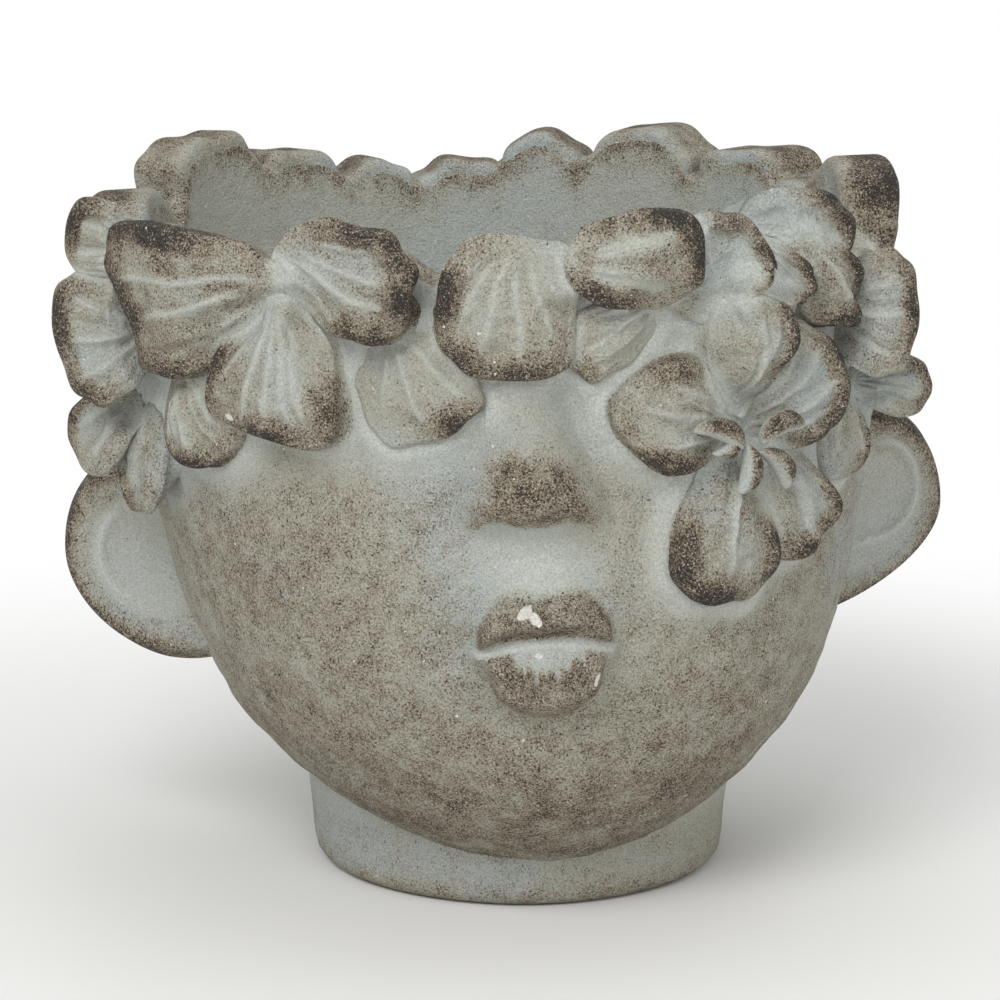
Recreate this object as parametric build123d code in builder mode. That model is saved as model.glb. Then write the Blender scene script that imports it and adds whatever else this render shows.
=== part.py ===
"""Head planter: a cement bowl cast as a child's head, with a wreath of petals round its rim.

Frame: +Z up, the face looks along -Y, the origin is the middle of the drain hole at the table.
Millimetres and degrees. A bearing is measured round the head from the front, positive towards +X,
and a clock angle is the way a piece points on the head's surface: 0 is up and 90 is towards +X.
"""

from build123d import *
import os
from math import cos, hypot, radians, sin, tan
from typing import NamedTuple

os.makedirs("parts", exist_ok=True)

# Bowl
RIM_HEIGHT = 142
WALL = 9
FLOOR_RADIUS = 6
HEAD_LEAN = 2.5
DRAIN_RADIUS = 6

# Neck
NECK_HEIGHT = 26
NECK_TOP_RADIUS = 48.5
NECK_BASE_RADIUS = 46.5
NECK_EDGE_RADIUS = 5

# Ears
EAR_HEIGHT = 73
EAR_BEARING = 88
EAR_FLARE = 28
EAR_REACH = 8
EAR_HALF_WIDTH = 22
EAR_HALF_HEIGHT = 24
EAR_THICKNESS = 12
EAR_EDGE_RADIUS = 4
EAR_RIM = 6
EAR_HOLLOW_DEPTH = 5

# Nose and mouth
FACE_BEARING = -2
NOSE_HEIGHT = 100
MOUTH_HEIGHT = 67
MOUTH_CLOCK = 87
FACE_ROOT = 6

# Petals, whose roots stop short of the bowl's inside
ROOT_CLEARANCE = 1
PETAL_CROWN = 5
PETAL_EDGE_RADIUS = 2.4
PETAL_ROOT_SHARE = 0.6
VEIN_RADIUS = 1.3

# Row of leaves under the rim at the back, evenly spaced
BACK_LEAF_COUNT = 8
BACK_LEAF_FIRST_BEARING = 97
BACK_LEAF_DROP = 27
BACK_LEAF_SWING = 10
BACK_LEAF_LENGTH = 35
BACK_LEAF_WIDTH = 28
BACK_LEAF_STAND = 8


class Section(NamedTuple):
    """A level slice of the head: its height, and its reach to the sides, front and back."""

    height: float
    side: float
    front: float
    back: float


CHIN = Section(8, 30, 42, 28)
JAW = Section(20, 46, 59, 44)
HEAD_SECTIONS = [
    CHIN,
    JAW,
    Section(35, 61, 70, 58),
    Section(55, 71.5, 77, 69),
    Section(80, 78, 80, 76),
    Section(108, 82.5, 80, 80),
    Section(RIM_HEIGHT, 85, 80, 82),
    Section(RIM_HEIGHT + 30, 86, 80, 83),
]


class Swell(NamedTuple):
    """A cross-section of the nose or a lip: its place along the piece, half width, rise and shift."""

    along: float
    half_width: float
    rise: float
    shift: float = 0


NOSE_SWELLS = [
    Swell(-10, 2, -4),
    Swell(-7, 9, 7),
    Swell(-1, 12.5, 10.5),
    Swell(8, 8, 6),
    Swell(18, 5, 1),
    Swell(24, 2, -4),
]
UPPER_LIP_SWELLS = [
    Swell(-14, 1.5, -3, 1.5),
    Swell(-6.5, 5.6, 5.5, 5),
    Swell(0, 5.2, 6.3, 4.8),
    Swell(6.5, 5.6, 5.5, 5),
    Swell(14, 1.5, -3, 1.5),
]
LOWER_LIP_SWELLS = [
    Swell(-13, 1.5, -3, -2),
    Swell(-7, 5, 4.5, -4.5),
    Swell(0, 6.4, 6.5, -6),
    Swell(7, 5, 4.5, -4.5),
    Swell(13, 1.5, -3, -2),
]


class Petal(NamedTuple):
    """A petal or leaf: its middle's bearing and drop below the rim, its size and how far its tip lifts."""

    name: str
    bearing: float
    drop: float
    clock: float
    length: float
    width: float
    stand: float
    tip_up: float = 0


# The wreath, uppermost layer first: each petal gives way to those before it.
WREATH = [
    Petal("left_bloom_lower_petal", -36.5, 17.5, -172, 33, 31, 12),
    Petal("left_bloom_outer_petal", -49.5, 3.5, -102, 48, 33, 13),
    Petal("left_bloom_inner_petal", -24, -2, 112, 25, 24.5, 12),
    Petal("forehead_petal", -4, 3.5, -172, 30, 27, 11),
    Petal("right_brow_petal", 13, -5.5, 85, 27, 21, 13),
    Petal("right_curl_petal", 26, -2.5, 60, 22, 25, 11),
    Petal("right_rim_petal", 40, -9, 98, 31, 17, 12),
    Petal("hanging_flower_pistil", 30, 33, 0, 12, 10, 10),
    Petal("hanging_flower_lower_petal", 27, 51, -172, 34, 24, 8),
    Petal("hanging_flower_left_petal", 19, 27.5, -75, 31, 24, 8),
    Petal("hanging_flower_low_right_petal", 39.5, 47, 155, 27, 20, 8),
    Petal("hanging_flower_upper_petal", 31.5, 15.5, 8, 25, 20, 8),
    Petal("hanging_flower_right_petal", 40.5, 25.5, 58, 29, 24, 8),
    Petal("right_leaf", 45, 2.5, 150, 27, 18, 10),
    Petal("right_inner_leaf", 37, 2.5, 150, 22, 15.5, 8),
    Petal("right_side_petal", 54, 11, 96, 24, 28, 10, 38),
    Petal("right_temple_leaf", 52, 35.5, 170, 24, 17, 7),
    Petal("right_ear_bud", 62, 28, 100, 19, 13, 8, 35),
    Petal("left_side_petal", -66, 16, -98, 26, 27, 11, 50),
    Petal("left_rim_petal", -63, -7, -75, 22, 18, 10, 45),
    Petal("left_temple_leaf", -54, 30, 160, 22, 24, 8),
    Petal("left_ear_front_leaf", -68, 43, 172, 23, 17, 7, 10),
    Petal("left_ear_back_leaf", -77, 40, -150, 22, 20, 8, 39),
    Petal("brow_leaf", -18, 19.5, 155, 25, 26, 7),
    Petal("forehead_leaf", 11, 9.5, -122, 24, 15, 6),
    Petal("right_tall_petal", 97, 3, 4, 34, 32, 10),
    Petal("back_petal_1", 113, 8, -6, 30, 22, 9),
    Petal("back_petal_2", 126, 2.5, 5, 32, 26, 10),
    Petal("back_petal_3", 147.5, 1.5, -4, 34, 28.5, 10),
    Petal("back_petal_4", 165.5, 3, 6, 32, 22, 9),
    Petal("back_petal_5", -179.5, 8.5, -3, 30, 25.5, 10),
    Petal("back_petal_6", -164, 8, 4, 30, 21.5, 9),
    Petal("back_petal_7", -148, 5, -5, 32, 24.5, 10),
    Petal("back_petal_8", -128.5, 1, 4, 36, 34, 10),
    Petal("back_petal_9", -102, 8, -8, 32, 30, 9),
]
back_leaf_spacing = (360 - 2 * BACK_LEAF_FIRST_BEARING) / (BACK_LEAF_COUNT - 1)
for index in range(BACK_LEAF_COUNT):
    swing = BACK_LEAF_SWING if index % 2 else -BACK_LEAF_SWING
    WREATH.append(
        Petal(
            name=f"back_leaf_{index + 1}",
            bearing=BACK_LEAF_FIRST_BEARING + index * back_leaf_spacing,
            drop=BACK_LEAF_DROP,
            clock=180 + swing,
            length=BACK_LEAF_LENGTH,
            width=BACK_LEAF_WIDTH,
            stand=BACK_LEAF_STAND,
        )
    )


def lean_at(height):
    """Sideways shift of the head's middle at a height, as the head leans over its neck."""
    return -(height - JAW.height) * tan(radians(HEAD_LEAN))


def level_slice(section, inset=0):
    """Face of one level section: a half ellipse to the front and another to the back."""
    middle = (lean_at(section.height), 0)
    side = section.side - inset
    with BuildSketch(Plane.XY.offset(section.height)) as slice_sketch:
        with BuildLine():
            EllipticalCenterArc(middle, side, section.back - inset, 0, arc_size=180)
            EllipticalCenterArc(middle, side, section.front - inset, 180, arc_size=180)
        make_face()
    return slice_sketch.sketch


# Outer form of the head, carried on above the rim so that the rim petals can be set on it.
with BuildPart() as outer_form:
    loft(sections=[level_slice(section) for section in HEAD_SECTIONS])

# Hollow of the bowl, from its floor at the jaw to above the wreath.
with BuildPart() as hollow:
    loft(sections=[level_slice(section, WALL) for section in HEAD_SECTIONS[1:]])
    fillet(hollow.edges().group_by(Axis.Z)[0], FLOOR_RADIUS)

# The head as a solid block, cut off level at the rim.
with BuildPart() as head_block:
    add(outer_form.part)
    split(bisect_by=Plane.XY.offset(RIM_HEIGHT), keep=Keep.BOTTOM)


def seat_plane(bearing, height, clock=0):
    """Plane on the head's outside at a bearing and height: z outwards, x along the clock angle."""
    outwards = Vector(sin(radians(bearing)), -cos(radians(bearing)), 0)
    ray = Axis((lean_at(height), 0, height), outwards)
    hits = outer_form.part.find_intersection_points(ray)
    point, normal = max(hits, key=lambda hit: (hit[0] - ray.position).dot(outwards))
    across = Vector(0, 0, 1).cross(normal).normalized()
    upwards = normal.cross(across)
    direction = upwards * cos(radians(clock)) + across * sin(radians(clock))
    return Plane(point, x_dir=direction, z_dir=normal)


def main_solid(part, name):
    """The main solid that is left of a part after its cuts, under its name."""
    solid = part.solids().sort_by(SortBy.VOLUME)[-1]
    solid.label = name
    return solid


# Head shell: the bowl with its drain hole.
with BuildPart() as head_shell:
    add(head_block.part)
    add(hollow.part, mode=Mode.SUBTRACT)
    with Locations((0, 0, JAW.height)):
        Cylinder(DRAIN_RADIUS, JAW.height * 2, mode=Mode.SUBTRACT)

# Neck: the foot that the head stands on, drained through its middle.
with BuildPart() as neck_foot:
    with BuildSketch():
        Circle(NECK_BASE_RADIUS)
    with BuildSketch(Plane.XY.offset(NECK_HEIGHT)):
        Circle(NECK_TOP_RADIUS)
    loft()
    fillet(neck_foot.edges().sort_by(Axis.Z)[0], NECK_EDGE_RADIUS)
    add(head_block.part, mode=Mode.SUBTRACT)
    Cylinder(DRAIN_RADIUS, NECK_HEIGHT * 2, mode=Mode.SUBTRACT)


class Dome(NamedTuple):
    """The ball that a petal's top is part of."""

    radius: float
    middle: Plane


class Seated(NamedTuple):
    """A petal in its place: its middle, how far it spreads from there and its uncut form."""

    middle: Vector
    spread: float
    form: Part


def petal_seat(petal):
    """Plane that a petal lies on: flat on the head, then tipped up about the petal's root end."""
    flat = seat_plane(petal.bearing, RIM_HEIGHT - petal.drop, petal.clock)
    half = petal.length / 2
    along = flat.x_dir * cos(radians(petal.tip_up)) + flat.z_dir * sin(radians(petal.tip_up))
    return Plane(flat.origin + (along - flat.x_dir) * half, x_dir=along, z_dir=along.cross(flat.y_dir))


def petal_dome(petal, seat):
    """The ball whose surface falls by the petal's crown from its middle to its ends."""
    half = max(petal.length, petal.width) / 2
    radius = (half**2 + PETAL_CROWN**2) / (2 * PETAL_CROWN)
    return Dome(radius, seat.offset(petal.stand - radius))


def petal_form(petal, seat, dome):
    """A domed petal with a rounded edge, its root reaching into the bowl's wall."""
    seat_depth = WALL - ROOT_CLEARANCE
    shoulder = petal.width / 2
    root_reach = petal.length * PETAL_ROOT_SHARE
    tip_reach = petal.length - root_reach
    widest = (root_reach - petal.length / 2, 0)
    with BuildPart() as form:
        with BuildSketch(seat.offset(-seat_depth)):
            with BuildLine():
                EllipticalCenterArc(widest, tip_reach, shoulder, -90, arc_size=180)
                EllipticalCenterArc(widest, root_reach, shoulder, 90, arc_size=180)
            make_face()
        extrude(amount=seat_depth + petal.stand + PETAL_CROWN)
        with Locations(dome.middle):
            Sphere(dome.radius, rotation=(90, 0, 0), mode=Mode.INTERSECT)
        top = form.faces().filter_by(GeomType.SPHERE)
        fillet(top.edges(), PETAL_EDGE_RADIUS)
    return form.part


def wreath_petal(petal, above):
    """A petal with its vein, cut to sit on the bowl and under the petals above it."""
    seat = petal_seat(petal)
    dome = petal_dome(petal, seat)
    form = petal_form(petal, seat, dome)
    spread = hypot(petal.length, petal.width) / 2
    with BuildPart() as body:
        add(form)
        add(head_block.part, mode=Mode.SUBTRACT)
        for other in above:
            if (other.middle - seat.origin).length < other.spread + spread:
                add(other.form, mode=Mode.SUBTRACT)
        with Locations(dome.middle):
            Torus(dome.radius, VEIN_RADIUS, rotation=(90, 0, 0), mode=Mode.SUBTRACT)
    above.append(Seated(seat.origin, spread, form))
    return main_solid(body.part, petal.name)


seated_petals = []
petals = [wreath_petal(petal, seated_petals) for petal in WREATH]


def ear(name, side):
    """An oval ear with a hollow inside its rim, flaring back from the head under the leaves."""
    level = seat_plane(side * EAR_BEARING, EAR_HEIGHT).origin
    lift = (level.X - lean_at(EAR_HEIGHT)) * tan(radians(HEAD_LEAN))
    seat = seat_plane(side * EAR_BEARING, EAR_HEIGHT + lift)
    facing = Vector(side * sin(radians(EAR_FLARE)), -cos(radians(EAR_FLARE)), 0)
    outwards = Vector(side * cos(radians(EAR_FLARE)), sin(radians(EAR_FLARE)), 0)
    front = Plane(seat.origin + outwards * EAR_REACH, x_dir=outwards, z_dir=facing)
    with BuildPart() as body:
        with BuildSketch(front):
            Ellipse(EAR_HALF_WIDTH, EAR_HALF_HEIGHT)
        extrude(amount=-EAR_THICKNESS)
        fillet(body.edges(), EAR_EDGE_RADIUS)
        with BuildSketch(front):
            Ellipse(EAR_HALF_WIDTH - EAR_RIM, EAR_HALF_HEIGHT - EAR_RIM)
        extrude(amount=-EAR_HOLLOW_DEPTH, mode=Mode.SUBTRACT)
        add(head_block.part, mode=Mode.SUBTRACT)
        for other in seated_petals:
            if (other.middle - front.origin).length < other.spread + EAR_HALF_HEIGHT:
                add(other.form, mode=Mode.SUBTRACT)
    return main_solid(body.part, name)


def swell_sections(seat, swells):
    """Ellipses across the seat's x axis, each rising from a root below the face's surface."""
    sections = []
    for swell in swells:
        middle = seat.from_local_coords((swell.along, swell.shift, -FACE_ROOT))
        with BuildSketch(Plane(middle, x_dir=seat.y_dir, z_dir=seat.x_dir)) as section:
            Ellipse(swell.half_width, swell.rise + FACE_ROOT)
        sections.append(section.sketch)
    return sections


# Nose: a round tip that fades upwards into the bridge.
with BuildPart() as nose:
    loft(sections=swell_sections(seat_plane(FACE_BEARING, NOSE_HEIGHT), NOSE_SWELLS))
    add(head_block.part, mode=Mode.SUBTRACT)

# Lips: two lobes above and one below, which meets them along the mouth.
mouth_seat = seat_plane(FACE_BEARING, MOUTH_HEIGHT, MOUTH_CLOCK)
with BuildPart() as upper_lip_form:
    loft(sections=swell_sections(mouth_seat, UPPER_LIP_SWELLS))
with BuildPart() as upper_lip:
    add(upper_lip_form.part)
    add(head_block.part, mode=Mode.SUBTRACT)
with BuildPart() as lower_lip:
    loft(sections=swell_sections(mouth_seat, LOWER_LIP_SWELLS))
    add(upper_lip_form.part, mode=Mode.SUBTRACT)
    add(head_block.part, mode=Mode.SUBTRACT)

pieces = [
    main_solid(head_shell.part, "head_shell"),
    main_solid(neck_foot.part, "neck_foot"),
    main_solid(nose.part, "nose"),
    main_solid(upper_lip.part, "upper_lip"),
    main_solid(lower_lip.part, "lower_lip"),
    ear("left_ear", -1),
    ear("right_ear", 1),
    *petals,
]
for piece in pieces:
    export_step(piece, f"parts/{piece.label}.step")
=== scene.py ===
from functools import partial
from typing import NamedTuple

import bmesh
import bpy
import numpy as np
from bpy.props import FloatProperty, FloatVectorProperty, PointerProperty
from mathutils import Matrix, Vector, noise
from mathutils.kdtree import KDTree
from numpy import arctan2, array, clip, concatenate, cos, hypot, interp, linspace, maximum, pi
from numpy import radians, sin, stack, zeros


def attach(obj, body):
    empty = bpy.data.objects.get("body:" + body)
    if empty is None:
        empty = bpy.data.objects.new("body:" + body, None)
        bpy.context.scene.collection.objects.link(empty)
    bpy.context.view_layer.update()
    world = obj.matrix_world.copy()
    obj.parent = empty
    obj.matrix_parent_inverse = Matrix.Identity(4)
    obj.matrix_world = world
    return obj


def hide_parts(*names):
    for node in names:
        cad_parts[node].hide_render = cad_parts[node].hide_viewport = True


bl_info = {
    "name": "Head Planter",
    "version": (1, 0, 0),
    "blender": (4, 5, 0),
    "location": "View3D > Sidebar > Planter",
    "description": "Models a cast cement head planter with a wreath of petals round its rim",
    "category": "Add Mesh",
}

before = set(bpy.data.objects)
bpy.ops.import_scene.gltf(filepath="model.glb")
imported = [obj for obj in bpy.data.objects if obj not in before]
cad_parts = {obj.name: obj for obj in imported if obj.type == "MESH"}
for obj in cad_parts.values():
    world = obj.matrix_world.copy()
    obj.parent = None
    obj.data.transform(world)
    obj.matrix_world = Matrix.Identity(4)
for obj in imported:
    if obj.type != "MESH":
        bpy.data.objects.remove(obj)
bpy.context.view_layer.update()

# Lengths are in mm up to the stage. A bearing goes round the head from the face, positive towards +X, and
# a clock angle is the way a piece points on the head: 0 is up, 90 is towards +X.
MM = 0.001
BODY = "root"

# The head's level sections: height, and reach to the side, the front and the back.
HEAD_SECTIONS = array(
    [
        (8, 30, 42, 28), (20, 46, 59, 44), (35, 61, 70, 58), (55, 71.5, 77, 69),
        (80, 78, 80, 76), (108, 82.5, 80, 80), (142, 85, 80, 82), (172, 86, 80, 83),
    ]
)
CHIN_HEIGHT = HEAD_SECTIONS[0, 0]
JAW_HEIGHT = 20
RIM_ROUND = 2.5
FLOOR_ROUND = 1.5

# The face's middle, and the radius that turns bearings there into distances.
FACE_BEARING = radians(-2)
FACE_RADIUS = 80

# Nose: its rise and its half width at heights from its tip.
NOSE_HEIGHT = 102
NOSE_RISE = ((-16, -12, -8, -4, 0, 6, 11, 18, 28), (0, 0.16, 0.6, 0.94, 1, 0.82, 0.58, 0.28, 0))
NOSE_HALF_WIDTH = ((-14, -8, -2, 5, 12, 28), (16, 17, 16, 12.5, 9.5, 9.5))

# Mouth: its place, the arch of its seam, and each lip's half width and height.
MOUTH_SHIFT = 1.6
MOUTH_HEIGHT = 67.5
MOUTH_TILT = radians(2)
MOUTH_ARCH = 2.4
UPPER_LIP_HALF, UPPER_LIP_HEIGHT = 14.4, 13
LOWER_LIP_HALF, LOWER_LIP_HEIGHT = 12.8, 19.2
# Short creases that run down the lower lip: place across the mouth and length.
LIP_CREASES = [(-5.8, 1.5), (-4.5, 2.6), (-2.2, 3.6), (-0.6, 1.6), (1.6, 3.2), (3.7, 1.6), (6.7, 2.4)]
# Chips in the lips: place across the mouth, height, half length, half width, and tilt in degrees.
LIP_CHIPS = [
    (-4.0, 76.5, 1.8, 0.95, 35), (-2.1, 75.4, 1.7, 1.0, -50),
    (-1.6, 67.7, 0.8, 0.7, 0), (9.1, 63.0, 1.8, 0.5, 75),
]

# Ears: their mean height, and how far the one on the +X side sits above it and the other below it.
EAR_HEIGHT = 73
EAR_LIFT = 3.4
# Section of an ear from its hollow round to its back: stations, with shares of its size or depths.
EAR_SHARES = ((0, 0.46, 0.6, 0.75, 1), (0, 0.88, 1, 0.88, 0))
EAR_DEPTHS = ((0, 0.40, 0.46, 0.52, 0.6, 0.68, 0.75, 1), (0, 0, -0.6, -2.2, -5, -8.4, -10, -12))
# Share of the bowl's wall that an ear's root reaches into.
EAR_ROOT_SHARE = 0.7


class Petal(NamedTuple):
    """A petal or leaf: its bearing and drop below the rim, its size and its modelling.

    A crest is a rolled and rubbed stretch of the edge: clock angle, half width in degrees, and strength.
    A chip is given by its place along and across the petal, half length and half width.
    """

    name: str
    bearing: float
    drop: float
    clock: float
    length: float
    width: float
    stand: float
    crests: tuple = ((0, 60, 0.7),)
    tip_up: float = 0.0
    taper: float = 0.35
    notch: float = 0.0
    cup: float = 0.9
    veins: int = 1
    groove: float = 0.8
    roll: float = 1.2
    root: float = 0.85
    blunt: float = 0.88
    rubbed: float = 0.1
    chips: tuple = ()


# Sizes that follow the part's, shifted a little where petals overlap, then modelling that shows close up.
WREATH = [
    Petal("left_bloom_lower_petal", -37.3, 17.5, -172, 33, 29, 12,
        ((262, 40, 0.8), (190, 38, 0.95), (125, 28, 0.6)), taper=0.6, notch=0.1, cup=0.6, veins=5,
        groove=-0.55, roll=0.9, root=0.8, rubbed=0.16, chips=((11.7, -7.9, 0.9, 1.5),)),
    Petal("left_bloom_outer_petal", -49.2, 3.5, -102, 45.5, 33, 13,
        ((335, 55, 1.0), (262, 40, 0.75), (212, 26, 0.7)), taper=0.6, cup=0.3, veins=4, groove=-0.35,
        roll=0.9, root=0.8, blunt=0.8, rubbed=0.36),
    Petal("left_bloom_inner_petal", -26, -2, 112, 28, 24.5, 12,
        ((40, 48, 1.0), (105, 36, 0.9), (165, 32, 0.85)), taper=0.3, cup=1.6, veins=4, groove=-0.6,
        roll=1.7, rubbed=0.2),
    Petal("forehead_petal", -4, 3.5, -172, 30, 27, 11, ((282, 36, 1.0), (225, 26, 0.7), (165, 34, 0.85)),
        taper=0.1, veins=6, groove=-0.45, roll=1.3, blunt=0.74, rubbed=0.14),
    Petal("right_brow_petal", 13, -5.5, 85, 27, 21, 13, ((60, 58, 1.2), (222, 42, 0.8)), taper=0.2,
        cup=-0.6, veins=2, groove=0.7, roll=0.3, rubbed=0.32),
    Petal("right_curl_petal", 25, -2.5, 60, 22, 23.5, 11, ((78, 48, 1.0), (15, 30, 0.6)), taper=0.2,
        cup=3.0, veins=0, roll=2.0),
    Petal("right_rim_petal", 38.5, -9, 98, 31, 17, 9.5, ((80, 52, 1.35),), taper=0.2, cup=0.2, groove=-0.4,
        root=0.7),
    Petal("hanging_flower_lower_petal", 27, 51, -172, 34, 24, 9,
        ((245, 40, 0.7), (200, 30, 1.0), (120, 36, 0.85)), taper=0.5, notch=0.04, cup=0.7, groove=-0.7,
        root=0.75, rubbed=0.24),
    Petal("hanging_flower_left_petal", 20.4, 27.5, -75, 31, 24, 9, ((350, 26, 0.5), (203, 42, 0.95)),
        taper=0.1, cup=1.4, veins=3, groove=-0.6, roll=1.5, root=0.75, blunt=1.28, rubbed=0.22),
    Petal("hanging_flower_low_right_petal", 39, 47, 155, 27, 20, 9, ((105, 45, 0.95), (170, 36, 0.9)),
        taper=0.5, notch=0.06, cup=1.3, groove=1.0, roll=1.6, root=0.75, rubbed=0.18),
    Petal("hanging_flower_upper_petal", 29.7, 15.5, 8, 26, 17.5, 13, ((85, 58, 1.1),), taper=0.5, cup=0.4,
        groove=-0.8, root=0.6),
    Petal("hanging_flower_right_petal", 37.7, 25.5, 58, 30, 26, 9.5, ((85, 60, 1.0), (150, 30, 0.9)),
        taper=0.5, cup=0.8, veins=4, groove=-0.5, roll=1.7, root=0.5),
    Petal("right_leaf", 43, 1.0, 138, 26, 14.5, 12, ((75, 42, 1.3), (150, 26, 1.1)), cup=0.2, groove=-0.4,
        rubbed=0.42),
    Petal("right_inner_leaf", 33.5, -0.5, 140, 20, 14, 11.5, ((95, 58, 1.3),), cup=0.2, groove=-0.4),
    Petal("right_side_petal", 55.5, 11, 96, 19, 27, 9, ((85, 58, 1.0),), tip_up=36, veins=3, groove=-0.4,
        root=0.3, rubbed=0.2),
    Petal("right_temple_leaf", 52, 35.5, 170, 24, 17, 7, ((120, 50, 0.8),), veins=2, groove=-0.5),
    Petal("right_ear_bud", 62, 28, 100, 19, 13, 8, ((85, 60, 0.7),), tip_up=35, cup=0.2, roll=0.3),
    Petal("left_side_petal", -72.5, 16, -98, 20, 28, 9, ((275, 58, 0.95), (205, 36, 0.8)), tip_up=50,
        veins=3, groove=-0.6),
    Petal("left_rim_petal", -70.5, -7, -75, 16, 18, 9, ((310, 60, 0.95),), tip_up=45, notch=0.05, veins=2,
        groove=-0.5),
    Petal("left_temple_leaf", -54, 30, 160, 22, 24, 8, ((185, 55, 0.9),), veins=5, groove=-0.5,
        rubbed=0.25),
    Petal("left_ear_front_leaf", -68, 43, 172, 23, 17, 7, ((225, 60, 0.9),), tip_up=10, rubbed=0.2),
    Petal("left_ear_back_leaf", -76, 40, -150, 20, 20, 8, ((270, 60, 0.9),), tip_up=36, veins=2,
        groove=-0.5, rubbed=0.2),
    Petal("brow_leaf", -18, 19.5, 155, 25, 26, 7, ((128, 26, 0.95),), cup=1.2, veins=3, groove=-0.6,
        roll=0.8, root=0.7),
    Petal("forehead_leaf", 11, 9.5, -122, 24, 15, 6, ((225, 32, 0.45),), groove=-0.5, root=0.7),
    Petal("right_tall_petal", 97, 3, 4, 34, 32, 4.5, ((330, 55, 0.95), (270, 40, 0.6)), veins=3,
        groove=-0.5),
    Petal("back_petal_1", 113, 8, -6, 30, 22, 9),
    Petal("back_petal_2", 126, 2.5, 5, 32, 26, 10, notch=0.05, veins=3),
    Petal("back_petal_3", 147.5, 1.5, -4, 34, 28.5, 10, veins=3),
    Petal("back_petal_4", 165.5, 3, 6, 32, 22, 9, veins=2),
    Petal("back_petal_5", -179.5, 8.5, -3, 30, 25.5, 10, veins=3),
    Petal("back_petal_6", -164, 8, 4, 30, 21.5, 9, veins=2),
    Petal("back_petal_7", -148, 5, -5, 32, 24.5, 10, veins=3),
    Petal("back_petal_8", -128.5, 1, 4, 36, 34, 5, notch=0.05, veins=4),
    Petal("back_petal_9", -102, 8, -8, 32, 30, 5, veins=3),
]
BACK_LEAF_COUNT = 8
BACK_LEAF_START = 97
BACK_LEAF_SWING = 10
BACK_LEAF = Petal("back_leaf", 0, 27, 180, 35, 28, 8, crests=((180, 70, 0.8),), notch=0.05, veins=3)
back_leaf_spacing = (360 - 2 * BACK_LEAF_START) / (BACK_LEAF_COUNT - 1)
for index in range(BACK_LEAF_COUNT):
    bearing = BACK_LEAF_START + index * back_leaf_spacing
    clock = BACK_LEAF.clock + (BACK_LEAF_SWING if index % 2 else -BACK_LEAF_SWING)
    WREATH.append(BACK_LEAF._replace(name=f"back_leaf_{index + 1}", bearing=bearing, clock=clock))

# A petal's edge round, the run-out of its fillet, the dip of its foot into the head, the depth of its root,
# and the round and clearance where it lines the bowl.
PETAL_EDGE = 1.9
PETAL_SKIRT = 2.6
PETAL_FOOT = 0.9
ROOT_DEPTH = 5
INNER_ROUND = 2.4
INNER_CLEARANCE = 0.3
# Crown of a petal's top, and drop of its edge away from the crests, as shares of its stand.
CROWN_SHARE = 0.16
LOW_EDGE_SHARE = 0.36
# Where a petal's top, rounded edge and side end, on the way from top to root.
TOP_END, EDGE_END, SIDE_END = 0.5, 0.7, 0.88
# Fall of a front petal's top towards the bowl, and the cosine of bearing where the front ends.
FRONT_FALL = 6.0
FRONT_COSINE = 0.2
# Waves of the edge: counts round the petal, and the share of its size that each may reach.
EDGE_LOBES = (3, 4, 5, 7, 9)
EDGE_WAVE = 0.032
# Mesh steps round and over a petal, at the front and at the back.
FRONT_STEPS, BACK_STEPS = (160, 100), (104, 60)
PETAL_SEED = 100

# Points of each petal's top and edge, which the head's rim and wash follow.
CRESTS = {}

# Curled beads in the hanging flower's heart: bearing, drop, clock, length, width and stand.
PISTIL_BEADS = [
    (24.0, 29.6, 112, 11, 4.6, 12), (25.4, 33.8, 215, 6, 3.6, 11), (33.2, 29.8, 75, 11, 4.4, 12),
    (28.6, 38.4, 185, 11, 4.2, 11.5), (33.4, 38.0, 140, 11, 4.4, 11.5),
]
BEAD_BEND = 2.2


def hex_colour(text):
    """Linear RGBA of an sRGB hex colour."""
    srgb = array([int(text[i : i + 2], 16) / 255 for i in (1, 3, 5)])
    linear = np.where(srgb <= 0.04045, srgb / 12.92, ((srgb + 0.055) / 1.055) ** 2.4)
    return (*linear.tolist(), 1.0)


def length_setting(name, description, default):
    """A length setting with its default in mm."""
    return FloatProperty(name=name, description=description, default=default * MM, unit="LENGTH")


def angle_setting(name, description, default):
    """An angle setting with its default in degrees."""
    return FloatProperty(name=name, description=description, default=radians(default), subtype="ANGLE")


def colour_setting(name, description, default):
    """A colour setting with its default as sRGB hex."""
    return FloatVectorProperty(
        name=name, description=description, default=hex_colour(default), size=4, subtype="COLOR"
    )


class PlanterSizes(bpy.types.PropertyGroup):
    """Sizes that a user would change."""

    rim_height: length_setting("Rim height", "Height of the bowl's rim between petals", 142)
    wall: length_setting("Wall", "Thickness of the bowl's wall", 9)
    lean: angle_setting("Lean", "Lean of the head to its right", 2.5)
    nose_rise: length_setting("Nose rise", "Height of the nose above the face", 10.5)
    lip_rise: length_setting("Lip rise", "Height of the lips above the face", 5.5)
    drain_radius: length_setting("Drain radius", "Radius of the hole in the floor", 6)
    neck_radius: length_setting("Neck radius", "Radius of the neck at the table", 46.5)
    ear_half_height: length_setting("Ear half height", "Half the height of an ear", 24)
    ear_half_width: length_setting("Ear half width", "Half the width of an ear", 22)


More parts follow.
